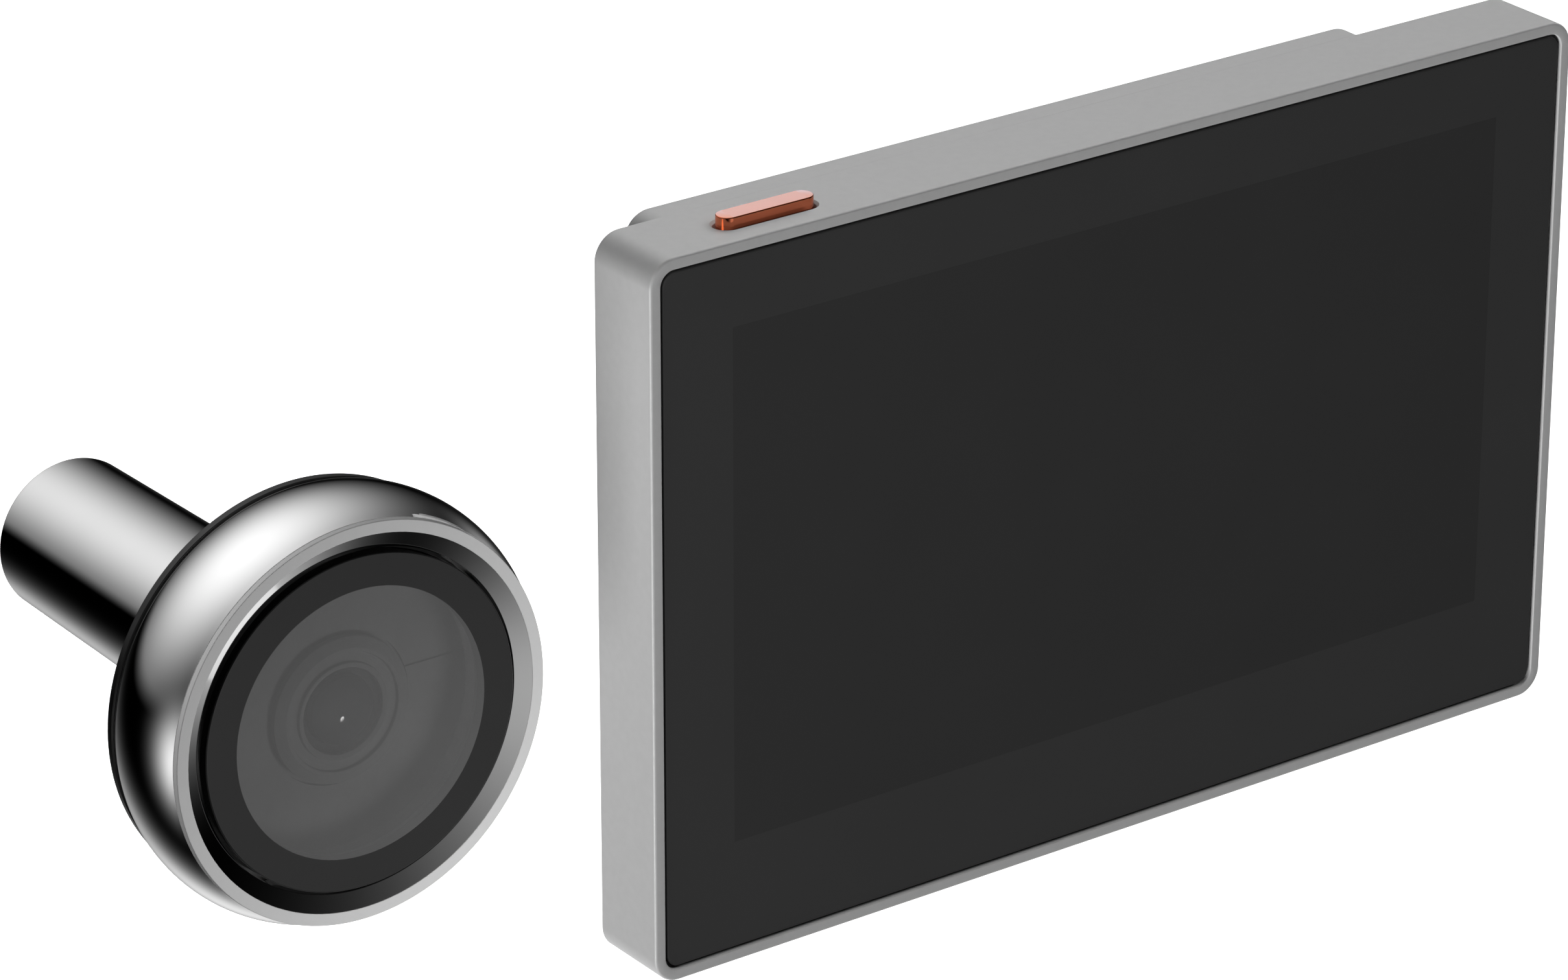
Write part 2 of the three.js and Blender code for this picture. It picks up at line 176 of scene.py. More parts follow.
def surface(name, color, vary, metallic, rough, rough_vary, scale, bump=0.0, bump_scale=None, stretch=None):
    """A general finish: colour and roughness wander with one noise, and a second one is the grain."""
    material, nodes, links, shader = new_material(name)
    shader.inputs["Metallic"].default_value = metallic
    patches = noise(nodes, links, scale, 4.0, stretch)
    low = tuple(c * (1 - vary) for c in color) + (1.0,)
    high = tuple(min(1.0, c * (1 + vary)) for c in color) + (1.0,)
    tint = ramp(nodes, links, patches.outputs["Fac"], low, high)
    links.new(tint.outputs["Color"], shader.inputs["Base Color"])
    gloss = nodes.new("ShaderNodeMapRange")
    gloss.inputs["From Min"].default_value = 0.3
    gloss.inputs["From Max"].default_value = 0.7
    gloss.inputs["To Min"].default_value = rough - rough_vary
    gloss.inputs["To Max"].default_value = rough + rough_vary
    links.new(patches.outputs["Fac"], gloss.inputs["Value"])
    links.new(gloss.outputs["Result"], shader.inputs["Roughness"])
    if bump:
        grain = noise(nodes, links, bump_scale or scale * 8, 2.0, stretch)
        relief = nodes.new("ShaderNodeBump")
        relief.inputs["Strength"].default_value = bump
        relief.inputs["Distance"].default_value = 0.02 * MM
        links.new(grain.outputs["Fac"], relief.inputs["Height"])
        links.new(relief.outputs["Normal"], shader.inputs["Normal"])
    return material, nodes, links, shader


def plain(*args, **kwargs):
    return surface(*args, **kwargs)[0]


def black_glass(name, color, specular=0.5):
    material, nodes, links, shader = surface(name, color, 0.02, 0.0, 0.06, 0.02, 60)
    shader.inputs["Specular IOR Level"].default_value = specular
    return material


def see_through(name, color, alpha, rough):
    material, nodes, links, shader = surface(name, color, 0.04, 0.0, rough, rough * 0.4, 90)
    shader.inputs["IOR"].default_value = 1.5
    shader.inputs["Alpha"].default_value = alpha
    return material


SATIN = plain("satin_aluminium", (0.66, 0.66, 0.66), 0.015, 0.1, 0.34, 0.02, 900, 0.15, 9000)
RING_SATIN = plain("ring_satin", (0.62, 0.62, 0.62), 0.01, 0.0, 0.45, 0.02, 900, 0.1, 9000)
CHROME = plain("chrome", (0.97, 0.97, 0.97), 0.006, 1.0, 0.035, 0.01, 120)
TRIM_CHROME = plain("polished_trim", (0.96, 0.96, 0.96), 0.01, 1.0, 0.05, 0.02, 200)
COPPER = plain("copper_plating", (0.62, 0.17, 0.085), 0.02, 1.0, 0.12, 0.02, 300)
SCREEN_BLACK = black_glass("screen_border", (0.055, 0.055, 0.055), 0.25)
DISPLAY_BLACK = black_glass("display_area", (0.045, 0.045, 0.045), 0.25)
MASK_BLACK = black_glass("window_border", (0.017, 0.017, 0.017))
WINDOW_FILM = see_through("smoked_window", (0.15, 0.15, 0.15), 0.66, 0.10)
CLEAR_BACK = see_through("clear_glass", (0.05, 0.05, 0.05), 0.04, 0.05)
LENS_GLASS = see_through("lens_glass", (0.012, 0.013, 0.016), 0.86, 0.02)
LENS_TRIM = plain("lens_trim", (0.24, 0.24, 0.24), 0.04, 0.0, 0.4, 0.05, 600, 0.15, 5000)
BLACK_PLASTIC = plain("black_plastic", (0.035, 0.035, 0.036), 0.15, 0.0, 0.45, 0.06, 500, 0.3, 4000)
DARK_FLANGE = plain("dark_flange", (0.07, 0.07, 0.07), 0.05, 0.6, 0.35, 0.04, 500, 0.15, 5000)
GASKET = plain("rubber_seal", (0.022, 0.022, 0.022), 0.2, 0.0, 0.8, 0.06, 700, 0.5, 3000)
ZINC = plain("zinc_plate", (0.62, 0.62, 0.61), 0.03, 0.5, 0.38, 0.03, 300, 0.15, 2500)
SCREW_STEEL = plain("screw_steel", (0.50, 0.50, 0.51), 0.06, 1.0, 0.30, 0.06, 900, 0.15, 6000)
BRASS = plain("machined_brass", (0.75, 0.56, 0.27), 0.05, 1.0, 0.24, 0.05, 800, 0.15, 5000)
FOIL = plain("foil", (0.62, 0.62, 0.64), 0.05, 0.9, 0.4, 0.08, 300, 0.2, 1500)
BOARD = plain("solder_mask", (0.02, 0.10, 0.05), 0.25, 0.0, 0.35, 0.08, 350, 0.3, 2500)


# ======================================================================================
# mesh helpers
# ======================================================================================
def fillet(points, closed, steps=4):
    """Points are (a, b) or (a, b, radius): corners with a radius become arcs."""
    out = []
    count = len(points)
    for i, point in enumerate(points):
        here = Vector(point[:2])
        end = not closed and i in (0, count - 1)
        if len(point) < 3 or end:
            out.append(here)
            continue
        before = (Vector(points[i - 1][:2]) - here).normalized()
        after = (Vector(points[(i + 1) % count][:2]) - here).normalized()
        half = before.angle(after) / 2
        reach = point[2] / math.tan(half)
        middle = here + (before + after).normalized() * (point[2] / math.sin(half))
        start = here + before * reach - middle
        sweep = start.angle_signed(here + after * reach - middle)
        for k in range(steps + 1):
            turn = -sweep * k / steps
            spun = Vector((
                start.x * math.cos(turn) - start.y * math.sin(turn),
                start.x * math.sin(turn) + start.y * math.cos(turn),
            ))
            out.append(middle + spun)
    return out


def arc(middle_a, middle_b, radius, from_deg, to_deg, steps):
    """Points on an arc, as (a, b)."""
    out = []
    for k in range(steps + 1):
        angle = math.radians(from_deg + (to_deg - from_deg) * k / steps)
        out.append((middle_a + radius * math.cos(angle), middle_b + radius * math.sin(angle)))
    return out


def to_object(bm, name):
    bmesh.ops.remove_doubles(bm, verts=bm.verts, dist=1e-8)
    bmesh.ops.recalc_face_normals(bm, faces=bm.faces)
    mesh = bpy.data.meshes.new(name)
    bm.to_mesh(mesh)
    bm.free()
    piece = bpy.data.objects.new(name, mesh)
    bpy.context.scene.collection.objects.link(piece)
    return piece


def smooth(piece, angle=SHARP_ANGLE):
    """Smooth shading, broken at edges sharper than angle, with flat faces kept flat."""
    bm = bmesh.new()
    bm.from_mesh(piece.data)
    for face in bm.faces:
        face.smooth = True
    for edge in bm.edges:
        edge.smooth = len(edge.link_faces) == 2 and edge.calc_face_angle(0.0) < angle
    bm.to_mesh(piece.data)
    bm.free()
    weights = piece.modifiers.new("weights", "WEIGHTED_NORMAL")
    weights.keep_sharp = True


def done(piece, material, body, stands_for=()):
    if material:
        piece.data.materials.append(material)
    smooth(piece)
    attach(piece, body)
    if stands_for:
        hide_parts(*stands_for)
    return piece


def lathe(name, profile, x=0.0, z=0.0, sides=ROUND, closed=True, y=FRONT_Y, steps=4):
    """Turns a profile of (radius, depth) or (radius, depth, fillet), in mm, about an axis along Y."""
    line = fillet(profile, closed, steps)
    bm = bmesh.new()
    rings = []
    for point in line:
        radius = point[0] * MM
        depth = y + point[1] * MM
        if radius < 1e-7:
            rings.append([bm.verts.new((x, depth, z))] * sides)
            continue
        turn = [2 * math.pi * k / sides for k in range(sides)]
        rings.append([bm.verts.new((x + radius * math.cos(a), depth, z + radius * math.sin(a))) for a in turn])
    last = len(rings) if closed else len(rings) - 1
    for i in range(last):
        here, there = rings[i], rings[(i + 1) % len(rings)]
        for k in range(sides):
            corners = [here[k], here[(k + 1) % sides], there[(k + 1) % sides], there[k]]
            unique = list(dict.fromkeys(corners))
            if len(unique) > 2:
                bm.faces.new(unique)
    return to_object(bm, name)


def corner_loop(w, h, r, steps=CORNER_STEPS):
    """A rounded rectangle about (0, 0), as (a, b) in metres."""
    out = []
    for sa, sb, first in ((1, -1, -90), (1, 1, 0), (-1, 1, 90), (-1, -1, 180)):
        out += arc(sa * (w / 2 - r), sb * (h / 2 - r), r, first, first + 90, steps)
    return out


def swept(name, w, h, r, profile, closed, x=0.0, y=0.0, z=0.0, upright=False, steps=4, corners=CORNER_STEPS):
    """Sweeps a profile of (inset, depth[, fillet]) in mm round a rounded rectangle in metres.

    The rectangle is in X and Z with depth along Y, or, upright, in X and Y with depth along Z."""
    bm = bmesh.new()
    loops = []
    for inset, depth in fillet(profile, closed, steps):
        inset *= MM
        loop = corner_loop(w - 2 * inset, h - 2 * inset, max(r - inset, 0.02 * MM), corners)
        if upright:
            loops.append([bm.verts.new((x + a, y + b, z + depth * MM)) for a, b in loop])
        else:
            loops.append([bm.verts.new((x + a, y + depth * MM, z + b)) for a, b in loop])
    last = len(loops) if closed else len(loops) - 1
    for i in range(last):
        here, there = loops[i], loops[(i + 1) % len(loops)]
        for k in range(len(here)):
            n = (k + 1) % len(here)
            bm.faces.new([here[k], here[n], there[n], there[k]])
    if not closed:
        bm.faces.new(loops[0])
        bm.faces.new(loops[-1])
    return to_object(bm, name)


def joined(pieces, name):
    """One object of several closed shells."""
    bm = bmesh.new()
    for piece in pieces:
        bm.from_mesh(piece.data)
        bpy.data.objects.remove(piece)
    return to_object(bm, name)


def carve(piece, cutters, operation="DIFFERENCE"):
    """Cuts (or joins) the cutters and applies the result."""
    for cutter in cutters:
        cut = piece.modifiers.new("cut", "BOOLEAN")
        cut.operation = operation
        cut.solver = "EXACT"
        cut.object = cutter
    graph = bpy.context.evaluated_depsgraph_get()
    mesh = bpy.data.meshes.new_from_object(piece.evaluated_get(graph))
    piece.modifiers.clear()
    piece.data = mesh
    for cutter in cutters:
        bpy.data.objects.remove(cutter)
    return piece


def dress(material, *nodes):
    """Gives shown CAD nodes their material."""
    for name in nodes:
        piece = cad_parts[name]
        piece.data.materials.clear()
        piece.data.materials.append(material)


CORNERS = [(-1, -1), (1, -1), (1, 1), (-1, 1)]


# ======================================================================================
# monitor
# ======================================================================================
def middle_of(node):
    low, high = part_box(node)
    return [(a + b) / 2 for a, b in zip(low, high)]


def slot_cutter(x, y, w, t, top, chamfer, down=4.0):
    """An upright pill whose mouth, at height top, is chamfered."""
    profile = [(-chamfer - 0.05, 0.06), (-chamfer, 0.0), (0, -chamfer), (0, -down)]
    return swept("cutter", w, t, t / 2 - 1e-6, profile, False, x, y, top, upright=True)


def monitor_frame():
    inner = WALL / MM
    depth = FRAME_D / MM
    ledge = 3.0
    profile = [
        (0, 0, FRONT_FILLET / MM), (inner, 0, 0.12), (inner, 1.9), (inner + ledge, 1.9), (inner + ledge, 2.9),
        (inner, 2.9), (inner, depth, 0.1), (0, depth, 0.01),
    ]
    piece = swept("frame_shell", FRAME_W, FRAME_H, FRAME_R, profile, True, MON_X, FRONT_Y, 0)
    button = middle_of("call_button")
    top = FRAME_HIGH[2]
    bottom = FRAME_LOW[2]
    cutters = [slot_cutter(button[0], button[1], 13.3 * MM, 3.2 * MM, top, 0.28)]
    port = middle_of("usb_port")
    microphone = middle_of("microphone")
    openings = [(port[0], port[1], 9.4, 3.4), (microphone[0], microphone[1], 1.2, 1.2)]
    for i in range(6):
        openings.append((MON_X + (-52 + 3 * i) * MM, FRONT_Y + 6 * MM, 1.2, 5.0))
    for x, y, w, t in openings:
        short = min(w, t) / 2 - 0.001
        profile = [(-0.25, -0.06), (-0.2, 0.0), (0, 0.2), (0, 3)]
        cutters.append(swept("cutter", w * MM, t * MM, short * MM, profile, False, x, y, bottom, upright=True, corners=6))
    carve(piece, cutters)
    done(piece, SATIN, "monitor", ["front_frame"])


def screen():
    """One pane with a rounded front edge; the display is a rectangle of its front face."""
    w = OPENING_W - 2 * GLASS_GAP
    h = OPENING_H - 2 * GLASS_GAP
    r = OPENING_R - GLASS_GAP
    back = 1.45
    front = 0.2
    bm = bmesh.new()
    loops = []
    for inset, depth in fillet([(0, back), (0, front, 0.12), (0.4, front)], False):
        inset *= MM
        loop = corner_loop(w - 2 * inset, h - 2 * inset, r - inset)
        loops.append([bm.verts.new((MON_X + a, FRONT_Y + depth * MM, b)) for a, b in loop])
    display = corner_loop(ACTIVE_W, ACTIVE_H, 0.03 * MM)
    loops.append([bm.verts.new((MON_X + a, FRONT_Y + front * MM, ACTIVE_UP + b)) for a, b in display])
    for here, there in zip(loops, loops[1:]):
        for k in range(len(here)):
            n = (k + 1) % len(here)
            bm.faces.new([here[k], here[n], there[n], there[k]])
    bm.faces.new(loops[0])
    bm.faces.new(loops[-1]).material_index = 1
    piece = to_object(bm, "screen_glass")
    piece.data.materials.append(SCREEN_BLACK)
    done(piece, DISPLAY_BLACK, "monitor", ["touch_glass"])


def call_button():
    low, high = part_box("call_button")
    x, y, _ = middle_of("call_button")
    top = high[2]
    cap = [(0, -3.7), (0, 0, 0.13), (1.25, 0)]
    body = swept("call_button_cap", 12.6 * MM, 2.65 * MM, 1.32 * MM, cap, False, x, y, top, upright=True, corners=16)
    done(body, COPPER, "call_button", ["call_button"])


def rear_shell():
    """The lid inside the frame and the step behind it, with the pocket that takes the door plate."""
    depth = (REAR_HIGH[1] - FRONT_Y) / MM
    frame_back = FRAME_D / MM
    seam = frame_back + 0.012
    floor_at = 11.7
    lid_w = OPENING_W - 0.3 * MM
    lid_h = OPENING_H - 0.3 * MM
    step = swept("rear_shell", STEP_W, FRAME_H, FRAME_R, [(0, seam, 0.01), (0, depth, 0.6), (3, depth)],
                 False, STEP_X, FRONT_Y, 0)
    lid = swept("lid", lid_w, lid_h, OPENING_R, [(0, 9.0), (0, frame_back, 0.15), (3, frame_back)],
                False, MON_X, FRONT_Y, 0)
    neck = swept("neck", STEP_W - 1 * MM, lid_h, OPENING_R, [(0, 9.2), (0, 12.0)], False, STEP_X, FRONT_Y, 0)
    carve(step, [lid, neck], "UNION")

    pocket_profile = [(0.5, floor_at), (0, floor_at + 0.5), (0, depth - 0.3), (-0.35, depth + 0.05), (-0.35, depth + 1)]
    cutters = [swept("pocket", POCKET_W, POCKET_H, 2.4 * MM, pocket_profile, False, STEP_X, FRONT_Y, POCKET_Z)]
    mouth = [(0, 9.6), (0, floor_at - 0.1), (-0.3, floor_at + 0.2)]
    for sx, sz in CORNERS:
        x = STEP_X + sx * STUD_X
        z = sz * STUD_Z
        cutters.append(swept("slot", 3.5 * MM, 11.5 * MM, 1.749 * MM, mouth, False, x, FRONT_Y, z - 4 * MM, corners=8))
        eye = [(0, 9.5), (3.3, 9.5), (3.3, floor_at - 0.1), (3.6, floor_at + 0.2), (0, floor_at + 0.2)]
        cutters.append(lathe("eye", eye, x, z - LIFT, SMALL_ROUND, closed=False))
    window = [(0, 8.5), (0, floor_at - 0.1), (-0.3, floor_at + 0.2)]
    cutters.append(swept("window", 15 * MM, 10 * MM, 2 * MM, window, False, STEP_X, FRONT_Y, 13.5 * MM, corners=8))
    for sx, sz in CORNERS:
        well = [(0, 8.5), (1.05, 8.5), (1.05, 9.8), (1.7, 9.8), (1.7, 10.42), (1.85, 10.6), (0, 10.6)]
        cutters.append(lathe("well", well, MON_X + sx * CASE_SCREW_X, sz * CASE_SCREW_Z, SMALL_ROUND, closed=False))
    carve(step, cutters)
    done(step, SATIN, "monitor", ["rear_cover"])


def screw_head(name, x, z, y0, y1, head_r, shank_r, tip, body, replaced, facing, cross=0.55):
    """A turned screw along Y with a cross recess; facing is +1 if the head looks along +Y."""
    if facing > 0:
        profile = [(0, tip), (shank_r, tip, 0.1), (shank_r, y0), (head_r, y0), (head_r, y1, 0.2), (0, y1)]
    else:
        profile = [(0, y0), (head_r * 0.92, y0, 0.15), (head_r, y1), (shank_r, y1), (shank_r, tip - 1.6), (0.15, tip), (0, tip)]
    piece = lathe(name, profile, x, z, SMALL_ROUND, closed=False)
    face = y1 if facing > 0 else y0
    bars = []
    for w, h in ((cross * head_r * 2, 0.28 * head_r), (0.28 * head_r, cross * head_r * 2)):
        low, high = (face - 0.4, face + 0.3) if facing > 0 else (face - 0.3, face + 0.4)
        bars.append(swept("bar", w * MM, h * MM, 0.05 * MM, [(0, low), (0, high)], False, x, FRONT_Y, z, corners=2))
    carve(piece, bars)
    done(piece, SCREW_STEEL, body, [replaced])


def usb_socket():
    low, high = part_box("usb_port")
    x, y, _ = middle_of("usb_port")
    profile = [(0, 0, 0.08), (0.32, 0, 0.08), (0.32, 6.2), (0, 6.2)]
    shell = swept("usb_socket", 8.9 * MM, 3.0 * MM, 1.49 * MM, profile, True, x, y, low[2], upright=True)
    back = swept("back", 8.7 * MM, 2.8 * MM, 1.39 * MM, [(0, 6.1), (0, 7.1)], False, x, y, low[2], upright=True)
    tongue = swept("tongue", 6.4 * MM, 0.75 * MM, 0.3 * MM, [(0.1, 0.8), (0, 1.1), (0, 6.3)], False, x, y, low[2], upright=True)
    piece = joined([shell, back, tongue], "usb_socket")
    done(piece, SCREW_STEEL, "monitor", ["usb_port"])


# ======================================================================================
# outdoor unit
# ======================================================================================
WINDOW_R = 15.6
BULGE_R = 24.75
BULGE_Y = 6.4
SHELL_Y0 = 0.35
SHELL_Y1 = 11.6


def head_body():
    half = BULGE_Y - SHELL_Y0
    drop = BULGE_R - 23.15
    radius = (half * half + drop * drop) / (2 * drop)
    start = math.degrees(math.asin((SHELL_Y0 - BULGE_Y) / radius))
    end = math.degrees(math.asin((SHELL_Y1 - BULGE_Y) / radius))
    outside = arc(BULGE_R - radius, BULGE_Y, radius, start, end, 24)
    profile = outside + [
        (9.9, SHELL_Y1), (9.9, 10), (20.4, 10), (20.4, 4.5), (21.4, 3.2), (22.55, 3.2), (22.55, SHELL_Y0),
    ]
    done(lathe("head_body", profile, HEAD_X), CHROME, "outdoor_unit", ["head_shell"])


def head_rings():
    ring = [(21.7, -0.4, 0.02), (23.1, -0.4, 0.1), (23.1, 0.3), (22.5, 0.3), (22.5, 3.1), (21.7, 3.1)]
    done(lathe("satin_ring", ring, HEAD_X), RING_SATIN, "outdoor_unit", ["front_ring"])
    trim = [(19.8, 0.45, 0.06), (21.69, -0.34), (21.69, 3.1), (19.8, 3.1)]
    done(lathe("polished_bevel", trim, HEAD_X), TRIM_CHROME, "outdoor_unit", ["polished_trim"])
    flange = [(9.85, 11.65), (23.8, 11.65, 0.12), (23.8, 12.7, 0.25), (9.85, 12.7)]
    flange_piece = lathe("flange_disc", flange, HEAD_X)
    wells = []
    for i in range(3):
        angle = math.pi / 2 + 2 * math.pi * i / 3
        x = HEAD_X + 15 * MM * math.cos(angle)
        z = 15 * MM * math.sin(angle)
        wells.append(lathe("well", [(0, 11.0), (1.7, 11.0), (1.7, 13.0), (0, 13.0)], x, z, SMALL_ROUND, closed=False))
    carve(flange_piece, wells)
    done(flange_piece, DARK_FLANGE, "outdoor_unit", ["back_flange"])
    gasket = [(9.85, 12.75), (23.1, 12.75, 0.2), (23.1, 13.5, 0.3), (9.85, 13.5, 0.1)]
    done(lathe("gasket_ring", gasket, HEAD_X), GASKET, "outdoor_unit", ["door_gasket"])


def barrel():
    end = 61.0
    profile = [
        (7.6, 10.1), (9.75, 10.1), (9.75, 13.5), (9.1, end, 0.35), (7.6, end, 0.3),
    ]
    done(lathe("barrel_sleeve", profile, HEAD_X), CHROME, "outdoor_unit", ["barrel_tube"])
    # the insert's bore is threaded: a fine saw-tooth down its length
    thread = []
    turns = 9
    pitch = 0.6
    for k in range(turns):
        y = 59.6 - k * pitch
        thread += [(4.4, y), (4.75, y - pitch / 2)]
    profile = [(4.4, end - 7), (7.55, end - 7), (7.55, end - 1.2, 0.3), (4.9, end - 1.2)] + thread
    done(lathe("threaded_bush", profile, HEAD_X, sides=80), BRASS, "outdoor_unit", ["threaded_insert"])


def lens_stack():
    carrier = [(8.9, 4.6), (20.2, 4.6), (20.2, 6.0), (5.8, 6.0), (5.8, 5.0), (8.9, 5.0)]
    plate = lathe("lens_plate", carrier, HEAD_X)
    groove_x = HEAD_X + 13 * MM
    groove = swept("groove", 9 * MM, 0.25 * MM, 0.1 * MM, [(0, 4.3), (0, 4.9)], False, groove_x, FRONT_Y, 2.6 * MM, corners=3)
    carve(plate, [groove])
    done(plate, LENS_TRIM, "outdoor_unit", ["lens_carrier"])
    bezel = [
        (5.0, 4.1), (5.0, 3.6, 0.08), (5.6, 3.4, 0.08), (5.7, 3.75, 0.05), (6.8, 3.75, 0.05), (6.9, 3.4, 0.08),
        (7.3, 3.4, 0.08), (8.5, 3.9, 0.1), (8.5, 4.5), (5.6, 4.5),
    ]
    done(lathe("lens_rings", bezel, HEAD_X), LENS_TRIM, "outdoor_unit", ["lens_bezel"])
    tube = [(4.1, 4.6), (5.7, 4.6, 0.1), (5.7, 8.2), (4.1, 8.2)]
    done(lathe("lens_tube", tube, HEAD_X, sides=80), BLACK_PLASTIC, "outdoor_unit", ["lens_barrel"])
    dome = []
    steps = 26
    for k in range(steps + 1):
        r = 3.9 * k / steps
        dome.append((r, 3.0 + 1.6 * (1 - math.sqrt(1 - (r / 4.6) ** 2))))
    dome += [(4.0, 4.7), (4.0, 5.4), (0, 5.4)]
    done(lathe("front_element", dome, HEAD_X, sides=80, closed=False), LENS_GLASS, "outdoor_unit", ["front_lens"])
    rear = [(0, 6.2), (1.8, 6.3), (3.4, 6.6), (3.4, 7.4), (1.8, 7.8), (0, 7.9)]
    done(lathe("rear_element", rear, HEAD_X, sides=64, closed=False), LENS_GLASS, "outdoor_unit", ["rear_lens"])


def bell_face():
    """The pressed window: one glass disc with a printed black border, smoked in front and clear behind."""
    edge_r = 19.35
    rim = [(0, 1.3), (WINDOW_R, 1.3), (edge_r, 1.3), (edge_r, -0.1, 0.14), (WINDOW_R, -0.1), (0, -0.1)]
    piece = lathe("window_disc", rim, HEAD_X, closed=False, steps=5)
    for material in (MASK_BLACK, WINDOW_FILM, CLEAR_BACK):
        piece.data.materials.append(material)
    for face in piece.data.polygons:
        away = math.hypot(face.center.x - HEAD_X, face.center.z)
        if away < WINDOW_R * MM * 0.999:
            face.material_index = 1 if face.center.y < FRONT_Y else 2
    done(piece, None, "bell_face", ["window_glass"])
    mask = [(16.2, 1.35, 0.1), (19.15, 1.35, 0.1), (19.15, 2.1), (16.2, 2.1)]
    done(lathe("window_mask", mask, HEAD_X), BLACK_PLASTIC, "bell_face", ["mask_ring"])


# ======================================================================================
# door plate
# ======================================================================================
def door_plate():
    dress(ZINC, "door_plate")
    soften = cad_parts["door_plate"].modifiers.new("edges", "BEVEL")
    soften.width = 0.2 * MM
    soften.segments = 2
    soften.limit_method = "ANGLE"
    soften.angle_limit = math.radians(40)
    for i, (sx, sz) in enumerate(CORNERS):
        profile = [
            (0, 8.5), (3.0, 8.5, 0.3), (3.0, 9.9, 0.15), (1.6, 9.9), (1.6, 11.85), (2.6, 11.85, 0.1), (2.6, 12.35),
            (1.5, 12.35), (1.5, 14.1, 0.1), (0, 14.1),
        ]
        stud = lathe(f"stud_{i + 1}", profile, STEP_X + sx * 28 * MM, sz * 20 * MM, SMALL_ROUND, closed=False)
        done(stud, SCREW_STEEL, "door_plate", [f"hook_stud_{i + 1}"])


# ======================================================================================
# studio
# ======================================================================================
def direction(longitude, latitude):
    a = math.radians(longitude)
    b = math.radians(latitude)
    return (math.cos(b) * math.sin(a), math.cos(b) * math.cos(a), math.sin(b))


def math_node(nodes, links, operation, first, second):
    node = nodes.new("ShaderNodeMath")
    node.operation = operation
    for socket, value in zip(node.inputs, (first, second)):
        if isinstance(value, (int, float)):
            socket.default_value = value
        else:
            links.new(value, socket)
    return node.outputs[0]


def glow(nodes, links, place, longitude, latitude, strength, tightness):
    """A round soft glow on the world, brightest in one direction."""
    dot = nodes.new("ShaderNodeVectorMath")
    dot.operation = "DOT_PRODUCT"
    dot.inputs[1].default_value = direction(longitude, latitude)
    links.new(place, dot.inputs[0])
    facing = math_node(nodes, links, "MAXIMUM", dot.outputs["Value"], 0.0)
    shape = math_node(nodes, links, "POWER", facing, tightness)
    return math_node(nodes, links, "MULTIPLY", shape, strength)


def studio_world():
    """The soft boxes as glows on a black world, the overhead one cut at the horizon. The camera sees white."""
    world = bpy.data.worlds.new("studio")
    bpy.context.scene.world = world
    world.use_nodes = True
    nodes = world.node_tree.nodes
    links = world.node_tree.links
    nodes.clear()
    place = nodes.new("ShaderNodeTexCoord").outputs["Generated"]
    height = nodes.new("ShaderNodeSeparateXYZ")
    links.new(place, height.inputs["Vector"])
    above = nodes.new("ShaderNodeMapRange")
    above.interpolation_type = "SMOOTHSTEP"
    above.inputs["From Min"].default_value = HORIZON[0]
    above.inputs["From Max"].default_value = HORIZON[1]
    links.new(height.outputs["Z"], above.inputs["Value"])
    overhead = glow(nodes, links, place, *OVERHEAD_GLOW)
    total = math_node(nodes, links, "MULTIPLY", overhead, above.outputs["Result"])
    for values in OTHER_GLOWS.values():
        total = math_node(nodes, links, "ADD", total, glow(nodes, links, place, *values))
    seen = nodes.new("ShaderNodeBackground")
    links.new(total, seen.inputs["Color"])
    white = nodes.new("ShaderNodeBackground")
    white.inputs["Color"].default_value = grey(1.0)
    path = nodes.new("ShaderNodeLightPath")
    mix = nodes.new("ShaderNodeMixShader")
    links.new(path.outputs["Is Camera Ray"], mix.inputs["Fac"])
    links.new(seen.outputs["Background"], mix.inputs[1])
    links.new(white.outputs["Background"], mix.inputs[2])
    out = nodes.new("ShaderNodeOutputWorld")
    links.new(mix.outputs["Shader"], out.inputs["Surface"])
    # the world is only what glossy surfaces reflect: the lamps light the satin and matt ones
    world.cycles_visibility.diffuse = False


def lamp(name, kind, power, glossy):
    data = bpy.data.lights.new(name, kind)
    data.energy = power
    light = bpy.data.objects.new(name, data)
    bpy.context.scene.collection.objects.link(light)
    light.visible_glossy = glossy
    return light


def broad_lamp(name, source, strength, size, glossy=False):
    """A wide lamp far away; source is the direction that its light comes from."""
    light = lamp(name, "SUN", strength, glossy)
    light.data.angle = math.radians(size)
    light.rotation_euler = Vector(source).to_track_quat("Z", "Y").to_euler()
    return light


def group_of(name, pieces):
    group = bpy.data.collections.new(name)
    for piece in pieces:
        group.objects.link(piece)
    return group


def named(*names):
    return [bpy.data.objects[name] for name in names]


def reflected(name, values, receivers, blockers=None, color=(1.0, 1.0, 1.0)):
    """A broad lamp that shows only as a reflection in its receivers."""
    light = broad_lamp(name, *values, glossy=True)
    light.visible_diffuse = False
    light.data.color = color
    light.light_linking.receiver_collection = receivers
    if blockers:
        light.light_linking.blocker_collection = blockers


